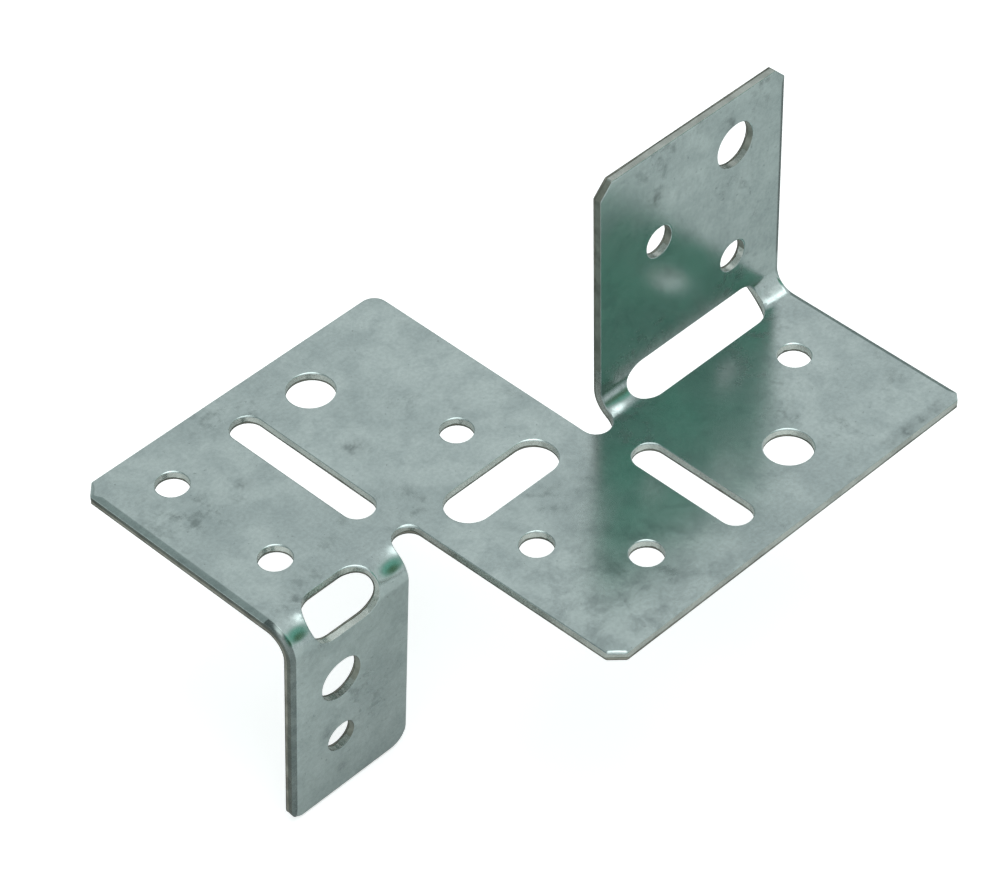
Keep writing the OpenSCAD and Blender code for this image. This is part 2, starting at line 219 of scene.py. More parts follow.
# %% Holes and slots
SCREW, BOLT = 5.5, 8.0
ROUND_HOLES = [
    # middle x, middle y, diameter: first the plate's, then the up leg's and the down leg's
    (-6.1, 35.7, BOLT), (-35.2, 35.7, SCREW), (-35.2, 12.8, SCREW), (3.2, 12.8, SCREW),
    (-6.1, -13.4, SCREW), (52.05, -13.4, SCREW), (3.9, -26.6, SCREW), (35.8, -26.6, BOLT),
    (52.05, UP_END - 9.3, BOLT), (35.05, UP_END - 18.1, SCREW), (52.05, UP_END - 31.5, SCREW),
    (-35.2, DOWN_END + 25.3, BOLT), (-35.2, DOWN_END + 11.9, SCREW),
]
UP_MIDDLE = UP_START + NEUTRAL_R * UP_FOLD / 2
DOWN_MIDDLE = DOWN_START - NEUTRAL_R * DOWN_FOLD / 2 - 0.3
UP_SLOT = (42.55, UP_MIDDLE, 30.4, 8.0)
DOWN_SLOT = (-33.65, DOWN_MIDDLE, 13.9, 8.0)
SLOTS = [
    # middle x, middle y, length, width, and True for a slot along Y
    (0, 0, 22.0, 8.0), (-18.9, 24.2, 30.2, 5.7, True), (19.6, -21.45, 23.3, 5.7, True),
    UP_SLOT, DOWN_SLOT,
]


def slot(x, y, length, width, upright=False):
    """A slot, or a round hole where its length and width are equal."""
    r, straight = width / 2, (length - width) / 2
    if not straight:
        return arc((x, y), r, 0, -2 * math.pi)[:-1]
    way = Vector((0, 1)) if upright else Vector((1, 0))
    turned = math.pi / 2 if upright else 0
    near, far = Vector((x, y)) - way * straight, Vector((x, y)) + way * straight
    return (arc(far, r, turned + math.pi / 2, -math.pi)
            + arc(near, r, turned - math.pi / 2, -math.pi))


loops += [slot(x, y, d, d) for x, y, d in ROUND_HOLES]
loops += [slot(*size) for size in SLOTS]
print(len(loops), "loops with", sum(map(len, loops)), "points")

# %% [markdown]
# ## Points along the edges
#
# The loops have long straight runs with no points on them. The torn part of a cut edge
# wanders up and down, so it needs a point every millimetre or so. Each point also gets its
# outward direction, out of the metal, so that the edge can be shaped beside it.

# %% Even points and outward directions
EDGE_STEP = 1.2
SAME_PLACE = 1e-6


def with_even_steps(points):
    dense = []
    for i, p in enumerate(points):
        a, b = Vector(p), Vector(points[(i + 1) % len(points)])
        if (b - a).length < SAME_PLACE:
            continue
        count = max(1, round((b - a).length / EDGE_STEP))
        dense += [a.lerp(b, k / count) for k in range(count)]
    return dense


def outward(points):
    """For each point, the direction out of the metal. The metal is on the left."""
    directions = []
    for i, p in enumerate(points):
        to_next = (points[(i + 1) % len(points)] - p).normalized()
        along = to_next + (p - points[i - 1]).normalized()
        directions.append(Vector((along.y, -along.x)).normalized())
    return directions


edges = [with_even_steps(points) for points in loops]
outs = [outward(points) for points in edges]
print("edge points:", sum(map(len, edges)))

# %% [markdown]
# ## What a punched edge looks like
#
# A punch leaves bands on the wall that it cuts. The face first rolls over into the hole,
# then the tool shears a smooth band. Below a dark crease the last part tears away and is
# rough, and a thin lip stays at the bottom. Here the section of the edge is a list of steps
# from the top face down: how far the wall has moved into the metal, how deep the step is,
# and which band follows it. The crease wanders, and a few slow waves say how far. One flat
# bevel round every edge would be less work, but then all of these bands would be missing.

# %% Section of the edge
ROLL = [
    # distance into the metal, depth
    (0.60, 0), (0.50, 0.018), (0.41, 0.042), (0.32, 0.072), (0.24, 0.108), (0.17, 0.148),
    (0.11, 0.19), (0.06, 0.235), (0.02, 0.285), (0, 0.34),
]
CREASE = 0.17
TEAR_IN = 0.04
LIP = 0.10
FACE, ROLLED, SHEARED, CREASED, TORN, LIPPED, UNDER, PAINTED_SHADE_WALL, PAINTED_SHADE_BROWN_WALL, PAINTED_LIGHT_WALL, DARKER_ROLL = range(11)


def edge_section(crease, wide, deep):
    """Rings of the wall: (distance into the metal, depth, band that follows)."""
    rings = [(distance * wide, depth * deep, ROLLED) for distance, depth in ROLL[:-1]]
    rings.append((0, ROLL[-1][1] * deep, SHEARED))
    rings.append((0, crease, CREASED))
    rings.append((TEAR_IN, crease + CREASE, TORN))
    rings.append((TEAR_IN, SHEET_T - LIP, LIPPED))
    rings.append((0, SHEET_T, UNDER))
    return rings


def tilt_of(k):
    """How far the surface has turned from the face towards the wall at ring k."""
    if k == 0:
        return 0
    if k >= len(ROLL) - 1:
        return math.pi / 2
    (d0, h0), (d1, h1), (d2, h2) = ROLL[k - 1:k + 2]
    return (math.atan2(h1 - h0, d0 - d1) + math.atan2(h2 - h1, d1 - d2)) / 2


full_section = edge_section(1.0, 1, 1)
bands = [band for _, _, band in full_section]
print("rings down the wall:", [(inset, round(depth, 3)) for inset, depth, _ in full_section])

# %% Wandering crease
WAVES = [
    # fewest and most waves round a loop, size in mm
    (3, 9, 0.06), (12, 30, 0.04), (31, 70, 0.025),
]
WAVE_SHIFT = 7


def wander_of(points, seed):
    """A slow irregular wave round a loop, in millimetres."""
    dice = random.Random(seed)
    waves = [(dice.randint(low, high), dice.random() * WAVE_SHIFT, size)
             for low, high, size in WAVES]
    n = len(points)
    return [
        sum(size * math.sin(2 * math.pi * count * i / n + shift) for count, shift, size in waves)
        for i in range(n)
    ]


print("the crease wanders by up to", round(sum(size for _, _, size in WAVES), 3), "mm")

# %% [markdown]
# ## No two edges alike
#
# On the real part the roll is wide on the left edges, on the near clip and on the far rims
# of the holes, and hardly there elsewhere. So each kind of edge says what share of the full
# roll it has, from the way that it faces. Near a corner there is less room for the roll: a
# ring that lies deeper in the metal than the corner's radius would cross itself. The walls
# also get light and shade painted into their colour: the left edges are painted darker as
# shade, the holes in the plate lighter as painted light, and the far walls of the holes in
# the legs darker and browner as painted shade.

# %% Share of the roll
# At least, and what facing left, the near corner, right and the back adds
HOLE_ROLL = (0.12, 0.1, 0.42, 0.2, 0.0)
UP_LEG_ROLL = (0.12, 0.0, 0.0, 0.0, 0.2)
PLATE_ROLL = (0.06, 0.2, 0.75, 0.2, 0.3)
# At least, what facing the side adds, with what power, share of the depth, and the crease
LEFT_ROLL = (0.3, 1.8, 2, 0.5, 0.78)
RIGHT_ROLL = (0.1, 1.1, 3, 0.3, 1.1)
LOW_CREASE, PLATE_CREASE, NEAR_CLIP_CREASE_RISE = 1.12, 1.14, 0.28
NEAR_CLIP_WIDENING = 0.2
CORNER_ROOM, ROOM_PER_MM = 0.9, 2.0
BESIDE = 3
FACING_LEFT = -0.6
PAST_FOLD, PAST_SLIT = 8, 8


def is_left_edge(point, out):
    """The outer left edge and the up leg's left edge, whose walls get painted shade."""
    on_side = point.x < LEFT + BESIDE or point.y > PAST_FOLD
    return out.x < FACING_LEFT and on_side and point.x < BACK_SLIT[0] + PAST_SLIT


def near_corner_facing(out):
    """1 for an edge that faces the near corner, and less the more it faces elsewhere."""
    return 2 * out.x * out.y if out.x < 0 and out.y < 0 else 0


def roll_share(out, shares):
    least, *gains = shares
    facing = max(-out.x, 0), near_corner_facing(out), max(out.x, 0), max(out.y, 0)
    return sum((gain * much for gain, much in zip(gains, facing)), least)


def room_at(point):
    """The widest share of the roll that fits beside the nearest corner."""
    return min(
        CORNER_ROOM * radius + ROOM_PER_MM * max((point - Vector((x, y))).length - radius, 0)
        for x, y, radius in outer_corners
    ) / ROLL[0][0]


def side_roll(facing, room, roll):
    least, gain, power, deep, crease = roll
    return min(least + gain * facing ** power, room), deep, crease


def section_of(point, out, is_hole):
    """Width and depth of the roll as shares of the full one, and the depth of the crease."""
    on_up_leg = point.y > PAST_FOLD and BACK_SLIT[0] < point.x < RIGHT - BESIDE
    if is_hole or on_up_leg:
        share = roll_share(out, HOLE_ROLL if is_hole else UP_LEG_ROLL)
        return share, share, LOW_CREASE
    room = room_at(point)
    if is_left_edge(point, out):
        return side_roll(max(-out.x, 0), room, LEFT_ROLL)
    if point.x > RIGHT - BESIDE:
        return side_roll(max(out.x, 0), room, RIGHT_ROLL)
    share, near = roll_share(out, PLATE_ROLL), near_corner_facing(out)
    wide = min(share * (1 + NEAR_CLIP_WIDENING * near), room)
    return wide, min(share, room), PLATE_CREASE - NEAR_CLIP_CREASE_RISE * near


left_share = side_roll(1, room_at(Vector((LEFT, 0))), LEFT_ROLL)[0]
print("the roll on the left edge is", round(left_share * ROLL[0][0], 2), "mm wide")

# %% Band of each face
LEG_HOLES = 12
FAR_WALL = -0.75
FACING_RIGHT = 0.9
ON_EDGE = 0.5
WORN_RIGHT_FROM, WORN_LEFT_TO = 6, 5


def band_of(kind, k, number, point, out):
    """The band of one face of the wall, below ring k of the loop with this number."""
    # Painted light and shade: the plate's hole walls get a lighter sheared band, and walls that
    # face -x get darker ones.
    if number and kind == SHEARED:
        on_up_leg = point.y > LEG_HOLES and point.x > BACK_SLIT[0]
        on_down_leg = point.y < -LEG_HOLES and point.x < DOWN_LEG_RIGHT
        if not (on_up_leg or on_down_leg):
            return PAINTED_LIGHT_WALL
        return PAINTED_SHADE_BROWN_WALL if out.x < FAR_WALL else SHEARED
    if kind == SHEARED and is_left_edge(point, out):
        return PAINTED_SHADE_BROWN_WALL if point.x > 0 else PAINTED_SHADE_WALL
    # Some rolls of the right and the left edge get a darker zinc.
    if kind == ROLLED and k > 0 and not number:
        is_right = point.x > RIGHT - ON_EDGE and out.x > FACING_RIGHT
        is_left = point.x < LEFT + ON_EDGE
        if (is_right and point.y > WORN_RIGHT_FROM) or (is_left and point.y < WORN_LEFT_TO):
            return DARKER_ROLL
    return kind


outline_bands = Counter(band_of(SHEARED, 0, 0, p, d) for p, d in zip(edges[0], outs[0]))
print("sheared faces of the outline by band:", dict(outline_bands))

# %% [markdown]
# ## The faces between the edges
#
# The top and bottom faces are flat areas with holes. Blender can fill such an area with a
# constrained Delaunay triangulation: it takes points and the edges that must be kept, and
# joins them with well-shaped triangles. A grid of extra points keeps the triangles small,
# which also helps the shading. Triangles that lie in a hole are dropped by asking whether
# their middle is inside the loops an odd number of times. On a straight edge that test can
# let in a triangle of no height that lies along the edge. Such a triangle has a side that is
# neither on a loop nor shared, and is dropped as well.

# %% Rings of every loop
ring_sets = []
for number, (points, directions) in enumerate(zip(edges, outs)):
    sections = []
    for p, d, wander in zip(points, directions, wander_of(points, number)):
        wide, deep, crease = section_of(p, d, number > 0)
        sections.append(edge_section(crease + wander, wide, deep))
    ring_sets.append([
        [(p - d * inset, depth) for p, d, (inset, depth, _) in zip(points, directions, steps)]
        for steps in zip(*sections)
    ])
top_rings = [[spot for spot, _ in rings[0]] for rings in ring_sets]
under_rings = [[spot for spot, _ in rings[-1]] for rings in ring_sets]
print(len(ring_sets), "loops with", len(bands), "rings each")

# %% Grid of inner points
GRID = 3.0
EDGE_ROOM = GRID * 0.45


def inside(point, rings):
    x, y = point
    odd = False
    for ring in rings:
        for i in range(len(ring)):
            (x1, y1), (x2, y2) = ring[i - 1], ring[i]
            if (y1 > y) != (y2 > y) and x < (x2 - x1) * (y - y1) / (y2 - y1) + x1:
                odd = not odd
    return odd


def near_edge(point, rings):
    return any((point - p).length < EDGE_ROOM for ring in rings for p in ring)


def grid_points(rings):
    points = []
    for i in range(int((RIGHT - LEFT) / GRID) + 1):
        for j in range(int((UP_END - DOWN_END) / GRID) + 1):
            p = Vector((LEFT + GRID * (i + 0.5), DOWN_END + GRID * (j + 0.5)))
            if inside(p, rings) and not near_edge(p, rings):
                points.append(p)
    return points


inner_grid = grid_points(top_rings)
print("grid points:", len(inner_grid))

# %% Fill the faces
MERGE = 1e-7


def sides_of(tri):
    return [frozenset((tri[i - 1], tri[i])) for i in range(3)]


def filled(rings, extra):
    """Triangles over the area between the rings, as indices into rings then extra."""
    points, kept = [], []
    for ring in rings:
        first = len(points)
        points += ring
        kept += [(first + i, first + (i + 1) % len(ring)) for i in range(len(ring))]
    result = delaunay_2d_cdt(points + extra, kept, [], 0, MERGE)
    spots, _, triangles, origins = result[:4]
    index = [found[0] if found else None for found in origins]
    faces = []
    for tri in triangles:
        middle = sum((spots[i] for i in tri), Vector((0, 0))) / 3
        if inside(middle, rings):
            faces.append([index[i] for i in tri])
    borders = {frozenset(pair) for pair in kept}
    uses = Counter(side for tri in faces for side in sides_of(tri))
    return [tri for tri in faces
            if all(uses[side] == 2 or side in borders for side in sides_of(tri))]


top_faces = filled(top_rings, inner_grid)
under_faces = filled(under_rings, inner_grid)
print("top triangles:", len(top_faces), "under triangles:", len(under_faces))

# %% [markdown]
# ## One closed flat mesh
#
# The faces and the rings are joined into one mesh with shared points, as one piece of metal
# is. Each point remembers the outward direction of the edge it belongs to and the tilt of
# the roll there, and each face remembers its band. Both are kept in layers, which Blender
# carries along when the mesh is cut later.

# %% Join the flat sheet
def wall_points(sheet, side):
    """For each loop, its rings as rows of mesh points."""
    table = []
    for rings, directions in zip(ring_sets, outs):
        rows = []
        for k, ring in enumerate(rings):
            row = []
            for (spot, depth), direction in zip(ring, directions):
                v = sheet.verts.new((spot.x, spot.y, -depth))
                v[side] = (direction.x, direction.y, tilt_of(k))
                row.append(v)
            rows.append(row)
        table.append(rows)
    return table


def add_walls(sheet, band, table):
    for number, rows in enumerate(table):
        for k in range(len(rows) - 1):
            for i in range(len(rows[k])):
                j = (i + 1) % len(rows[k])
                quad = [rows[k][j], rows[k][i], rows[k + 1][i], rows[k + 1][j]]
                kind = band_of(bands[k], k, number, edges[number][i], outs[number][i])
                sheet.faces.new(quad)[band] = kind


def flat_sheet():
    sheet = bmesh.new()
    side = sheet.verts.layers.float_vector.new("side")
    band = sheet.faces.layers.int.new("band")
    table = wall_points(sheet, side)
    grid_tops = [sheet.verts.new((p.x, p.y, 0)) for p in inner_grid]
    grid_unders = [sheet.verts.new((p.x, p.y, -SHEET_T)) for p in inner_grid]
    tops = [v for rows in table for v in rows[0]] + grid_tops
    unders = [v for rows in table for v in rows[-1]] + grid_unders
    for tri in top_faces:
        sheet.faces.new([tops[i] for i in tri])[band] = FACE
    for tri in under_faces:
        sheet.faces.new([unders[i] for i in reversed(tri)])[band] = UNDER
    add_walls(sheet, band, table)
    return sheet, side, band


def open_edges(sheet):
    return sum(1 for e in sheet.edges if len(e.link_faces) != 2)


sheet, side, band = flat_sheet()
print("flat sheet:", len(sheet.verts), "points,", len(sheet.faces), "faces,",
      open_edges(sheet), "open edges")

# %% [markdown]
# ## Cutting across the folds
#
# A mesh bends only where it has edges. The real sheet bends in a narrow strip beside the
# fold line, so that strip is cut across many times with a plane. The rest of the sheet
# stays as it is. Cutting the finished flat mesh is simpler than planning the points ahead,
# because the holes and walls that lie on the fold are cut along with it.

# %% Cut the folds
FOLD_STEPS = 20
ON_PLANE = 1e-5


def cut_fold(sheet, start, length, edge_x, way):
    """Cuts the strip beside a slit. way is 1 for the strip at the back, -1 at the front."""
    for k in range(FOLD_STEPS + 1):
        y = start + way * length * k / FOLD_STEPS
        around = set()
        for f in sheet.faces:
            if any(way * (v.co.x - edge_x) > 0 and way * (v.co.y - start) > -SAME_PLACE
                   for v in f.verts):
                around.update([f], f.edges, f.verts)
        bmesh.ops.bisect_plane(
            sheet, geom=list(around), dist=ON_PLANE, plane_co=(0, y, 0), plane_no=(0, 1, 0))


cut_fold(sheet, UP_START, NEUTRAL_R * UP_FOLD, BACK_SLIT[0], 1)
cut_fold(sheet, DOWN_START, NEUTRAL_R * DOWN_FOLD, FRONT_SLIT[0], -1)
bmesh.ops.triangulate(sheet, faces=[f for f in sheet.faces if len(f.verts) > 3])
print("after cutting:", len(sheet.faces), "faces,", open_edges(sheet), "open edges")

# %% [markdown]
# ## Folding
#
# The strip at the right folds up and the strip at the left folds down, about the same line.
# A Simple Deform modifier could bend them, but it knows nothing of the neutral surface, so
# the slots on the folds would come out too long. Here each point is moved by the rule that
# a press brake follows: past the start of the fold it goes round the bend, and what is left
# of its length runs on along the leg. The same turn is kept for the point's shading.

# %% Fold every point
def place_of(co):
    """Where a point of the flat sheet lies on the bracket, and how far it has turned."""
    if co.x > BACK_SLIT[0] and co.y > UP_START:
        s, depth, fold, way = co.y - UP_START, -co.z, UP_FOLD, 1
    elif co.x < FRONT_SLIT[0] and co.y < DOWN_START:
        s, depth, fold, way = DOWN_START - co.y, SHEET_T + co.z, DOWN_FOLD, -1
    else:
        return co.copy(), 0
    turn = min(s / NEUTRAL_R, fold)
    past = max(s - NEUTRAL_R * fold, 0)
    r = FOLD_R + depth
    y = r * math.sin(turn) + past * math.cos(turn)
    z = FOLD_R - r * math.cos(turn) + past * math.sin(turn)
    if way > 0:
        return Vector((co.x, UP_START + y, z)), turn
    return Vector((co.x, DOWN_START - y, -SHEET_T - z)), turn


for name, end in (("up", (RIGHT, UP_END, 0)), ("down", (LEFT, DOWN_END, 0))):
    print("the", name, "leg ends at", [round(c, 2) for c in place_of(Vector(end))[0]])

# %% [markdown]
# ## Shading the fold
#
# Each corner of each triangle gets the direction in which the real surface faces. On the
# faces that is straight up or down, on the walls it follows the section, and the turn of the
# fold is added last. Both legs turn about the X axis, from Y towards Z for the one that folds
# up. The leg that folds down turns the same way round: its far end starts on the other side
# of the fold line, so the same turn takes it down.
#
# The narrow bridges beside a slot on a fold don't bend as evenly as a wide sheet. They warp
# a little across their width, so that a highlight sits at one end of a bridge. The down fold
# also starts its turn a little late. Both are too small to show in the outline, but a
# reflection shows them well, so only the shading leans.

# %% Warped bridges
BRIDGES = [
    # left and right end, share of the warp at each, turn where it ends, how peaked it is
    (LEFT, DOWN_SLOT[0] - DOWN_SLOT[2] / 2, 0.9, -0.5, DOWN_FOLD, 1.0),
    (DOWN_SLOT[0] + DOWN_SLOT[2] / 2, DOWN_LEG_RIGHT, 0.9, -0.5, DOWN_FOLD, 1.0),
    (UP_LEG_LEFT, UP_SLOT[0] - UP_SLOT[2] / 2, -1.0, 0.2, UP_FOLD * 0.62, 1.5),
    (UP_SLOT[0] + UP_SLOT[2] / 2, RIGHT, -0.9, -1.4, UP_FOLD * 0.85, 1.0),
]
BRIDGE_SLACK = 0.1
WARP = 0.36
DOWN_LAG = 0.11


def warp_of(x, turn):
    """Sideways lean of the surface on the narrow bridges beside a slot on a fold."""
    for left, right, first, last, end, peak in BRIDGES:
        if turn > 0 and left - BRIDGE_SLACK <= x <= right + BRIDGE_SLACK:
            share = first + (last - first) * (x - left) / (right - left)
            return WARP * share * max(math.sin(math.pi * min(turn / end, 1)), 0) ** peak
    return 0


print("widths of the bridges in mm:", [round(row[1] - row[0], 2) for row in BRIDGES])


# %% Make the bracket mesh
def flat_normal(kind, side):
    """Which way the surface faces on the flat sheet, in a band. The third part of side
    is the tilt of the roll at the point."""
    if kind == FACE:
        return Vector((0, 0, 1))
    if kind == UNDER:
        return Vector((0, 0, -1))
    out = Vector((side[0], side[1], 0)).normalized()
    if kind in (ROLLED, DARKER_ROLL):
        return out * math.sin(side[2]) + Vector((0, 0, math.cos(side[2])))
    if kind == CREASED:
        return (out - Vector((0, 0, TEAR_IN / CREASE))).normalized()
    return out


def folded_mesh(sheet):
    places, turns, leans, normals = [], [], [], []
    sheet.verts.index_update()
    for v in sheet.verts:
        place, turn = place_of(v.co)
        lag = DOWN_LAG * math.sin(2 * turn) if v.co.y < DOWN_START else 0
        places.append(place * MM)
        turns.append(Matrix.Rotation(turn - lag, 3, "X"))
        leans.append(Vector((warp_of(v.co.x, turn), 0, 0)))
    corners, kinds = [], []
    for f in sheet.faces:
        kinds.append(f[band])
        corners.append([v.index for v in f.verts])
        for v in f.verts:
            facing = flat_normal(f[band], v[side]) + leans[v.index]
            normals.append(turns[v.index] @ facing.normalized())
    mesh = bpy.data.meshes.new("folded_sheet")
    mesh.from_pydata(places, [], corners)
    mesh.polygons.foreach_set("use_smooth", [True] * len(corners))
    mesh.normals_split_custom_set(normals)
    return mesh, kinds


bracket_mesh, face_bands = folded_mesh(sheet)
sheet.free()
bracket = bpy.data.objects.new("folded_bracket", bracket_mesh)
bpy.context.scene.collection.objects.link(bracket)
spans = [(min(v.co[i] for v in bracket_mesh.vertices), max(v.co[i] for v in bracket_mesh.vertices))
         for i in range(3)]
print("bracket:", len(bracket_mesh.polygons), "triangles, size in mm",
      [round((high - low) / MM, 2) for low, high in spans])

# %% [markdown]
# ## Helpers for materials
#
# Every finish below is made of a few kinds of node: noise, a stretch of its range, a mix of
# two colours, a sum or product, and a bump. A short function for each keeps the finishes
# easy to read. A value that is a plain number is set on the socket, and a value that comes
# from another node is linked to it.

# %% Node helpers
def new_material(name):
    material = bpy.data.materials.new(name)
    material.use_nodes = True
    nodes = material.node_tree.nodes
    return material, nodes, material.node_tree.links, nodes["Principled BSDF"]


def fed(links, value, socket):
    if hasattr(value, "links"):
        links.new(value, socket)
    else:
        socket.default_value = value


def noise(nodes, links, where, scale, detail, rough, bend=0.0):
    """Noise with its scale in units of one per metre."""
    node = nodes.new("ShaderNodeTexNoise")
    look = {"Scale": scale, "Detail": detail, "Roughness": rough, "Distortion": bend}
    for name, number in look.items():
        node.inputs[name].default_value = number
    links.new(where, node.inputs["Vector"])
    return node.outputs["Fac"]


def spread(nodes, links, value, low, high, to_low=0.0, to_high=1.0):
    """Stretches the part of a value between low and high over a new range."""
    node = nodes.new("ShaderNodeMapRange")
    node.interpolation_type = "SMOOTHSTEP"
    look = {"From Min": low, "From Max": high, "To Min": to_low, "To Max": to_high}
    for name, number in look.items():
        node.inputs[name].default_value = number
    links.new(value, node.inputs["Value"])
    return node.outputs["Result"]


def mixed(nodes, links, share, first, second, way="MIX"):
    node = nodes.new("ShaderNodeMix")
    node.data_type = "RGBA"
    node.blend_type = way
    inputs = (("Factor", "VALUE", share), ("A", "RGBA", first), ("B", "RGBA", second))
    for name, kind, value in inputs:
        fed(links, value, next(s for s in node.inputs if s.name == name and s.type == kind))
    return next(s for s in node.outputs if s.type == "RGBA")


def calculated(nodes, links, way, first, second):
    node = nodes.new("ShaderNodeMath")
    node.operation = way
    fed(links, first, node.inputs[0])
    fed(links, second, node.inputs[1])
    return node.outputs[0]


def multiplied(nodes, links, first, second):
    return calculated(nodes, links, "MULTIPLY", first, second)


def measured(nodes, links, way, vector, fixed):
    """A vector's dot product with a fixed one, or its distance from a fixed point."""
    node = nodes.new("ShaderNodeVectorMath")
    node.operation = way
    node.inputs[1].default_value = fixed
    links.new(vector, node.inputs[0])
    return node.outputs["Value"]


def bumped(nodes, links, shader, height, strength, distance):
    node = nodes.new("ShaderNodeBump")
    node.inputs["Strength"].default_value = strength
    node.inputs["Distance"].default_value = distance
    links.new(height, node.inputs["Height"])
    links.new(node.outputs["Normal"], shader.inputs["Normal"])


# %% [markdown]
# ## The zinc skin
#
# The sheet is coated with zinc before it is cut. Zinc that has been rolled smooth reflects
# its surroundings as a soft blur, and in time it gets cloudy stains, darker smudges from
# hands and oil, and small pits. All of these are patterns of noise at different sizes. They
# change the colour a little and the roughness a little more, because the eye notices a
# stain on metal mainly by how it blurs a reflection. An image could hold such stains, but
# noise has no seams and no limit of detail. Scuffs are listed where the real part has them,
# and the foot of the down leg gets painted shade: its zinc is darker towards the bottom.

# %% Zinc
ZINC = (0.535, 0.615, 0.60, 1)
ZINC_CLOUD = (0.385, 0.455, 0.45, 1)
# also the colour of the painted shade at the foot of the down leg
ZINC_SMUDGE_AND_SHADE = (0.19, 0.23, 0.225, 1)
# scale, detail, roughness and bend of the noise, then the part of its range that shows
CLOUDS = (70, 3, 0.5, 0.5), (0.38, 0.66)
WISPS = (230, 5, 0.62, 0.4), (0.40, 0.72)
SMUDGE_PLACES = (62, 2, 0.5), (0.50, 0.72)
SMUDGE_GRAIN = (380, 5, 0.66), (0.46, 0.72)
PITS = (1300, 2, 0.5), (0.69, 0.76)
FLECKS = (1500, 3, 0.6), (0.33, 0.67, 0.94, 1.05)
RIPPLES, RIPPLE_STRENGTH, RIPPLE_DEPTH = (700, 3, 0.6), 0.10, 0.00003
CLOUD_SHARE, WISP_SHARE, SMUDGE_SHARE, PIT_SHARE = 0.55, 0.7, 0.8, 0.45
SMOOTHEST, ROUGHEST, SMUDGE_ROUGHNESS = 0.21, 0.25, 0.12
# Painted shade at the foot of the down leg: where it is full, where it fades out, and how strong
# it is.
FOOT, FOOT_TOP, FOOT_PAINTED_SHADE = -0.042, -0.008, 0.22
SCUFFS = [
    # middle in mm, how far it reaches, strength
    ((-10.1, 21.4, 0.0), 3.4, 0.8), ((-27.7, 27.7, 0.0), 2.2, 0.8),
    ((34.2, 0.3, 34.6), 3.2, 0.8), ((50.4, 0.3, 39.2), 3.4, 0.8),
    ((-34.5, 0.6, -36.8), 2.6, 0.8), ((-37.9, 0.0, -26.8), 2.8, 0.8),
    ((-41, 3, -2), 3, 0.7), ((-4, -31, 0), 26, 0.45),
] + [((x, -37.3, 0), 2.0, 0.9) for x in range(47, 61, 2)]
WIDE_SCUFF, SCUFF_GRAIN_RISE = 10, 0.3


def zinc_skin():
    material, nodes, links, shader = new_material("zinc_skin")
    where = nodes.new("ShaderNodeTexCoord").outputs["Object"]

    def pattern(look):
        return spread(nodes, links, noise(nodes, links, where, *look[0]), *look[1])

    def covered(colour, share, cover):
        return mixed(nodes, links, multiplied(nodes, links, *share), colour, cover)

    clouds, wisps, grain = pattern(CLOUDS), pattern(WISPS), pattern(SMUDGE_GRAIN)
    smudges = multiplied(nodes, links, pattern(SMUDGE_PLACES), grain)
    colour = covered(ZINC, (clouds, CLOUD_SHARE), ZINC_CLOUD)
    colour = covered(colour, (wisps, WISP_SHARE), ZINC_CLOUD)
    colour = covered(colour, (smudges, SMUDGE_SHARE), ZINC_SMUDGE_AND_SHADE)
    scuff_grain = calculated(nodes, links, "ADD", grain, SCUFF_GRAIN_RISE)
    for spot, reach, strength in SCUFFS:
        away = measured(nodes, links, "DISTANCE", where, [c * MM for c in spot])
        near = spread(nodes, links, away, 0, reach * MM, strength, 0.0)
        colour = covered(colour, (near, scuff_grain if reach < WIDE_SCUFF else wisps), ZINC_SMUDGE_AND_SHADE)
    height = nodes.new("ShaderNodeSeparateXYZ")
    links.new(where, height.inputs[0])
    # Painted shade: the zinc gets darker towards the bottom of the down leg.
    foot_shade = spread(nodes, links, height.outputs["Z"], FOOT, FOOT_TOP, FOOT_PAINTED_SHADE, 0.0)
    colour = mixed(nodes, links, foot_shade, colour, ZINC_SMUDGE_AND_SHADE)
    colour = covered(colour, (pattern(PITS), PIT_SHARE), ZINC_SMUDGE_AND_SHADE)
    colour = mixed(nodes, links, 1.0, colour, pattern(FLECKS), "MULTIPLY")
    links.new(colour, shader.inputs["Base Color"])
    rough = calculated(nodes, links, "ADD",
                       spread(nodes, links, clouds, 0, 1, SMOOTHEST, ROUGHEST),
                       multiplied(nodes, links, smudges, SMUDGE_ROUGHNESS))
    links.new(rough, shader.inputs["Roughness"])
    shader.inputs["Metallic"].default_value = 1.0
    ripples = noise(nodes, links, where, *RIPPLES)
    bumped(nodes, links, shader, ripples, RIPPLE_STRENGTH, RIPPLE_DEPTH)
    return material


zinc = zinc_skin()
print("zinc skin:", len(zinc.node_tree.nodes), "nodes,", len(SCUFFS), "scuffs")

# %% [markdown]
# ## The cut edges
#
# The zinc is dragged a little way down the cut wall, so the sheared band is still smooth.
# Below it the bare steel has torn: it is brownish grey and rough. Between them runs a crease,
# and a lip stays at the bottom. Both get dark colours, which are painted shade. The sheared band
# comes in four finishes for walls that face the light in different ways: the lightest is painted
# light and the two darkest are painted shade. Some rolls get a darker zinc. All of these could be
# painted on one material with a mask, but materials on the bands of the mesh are easier to read
# and to change, and one function can make them all.

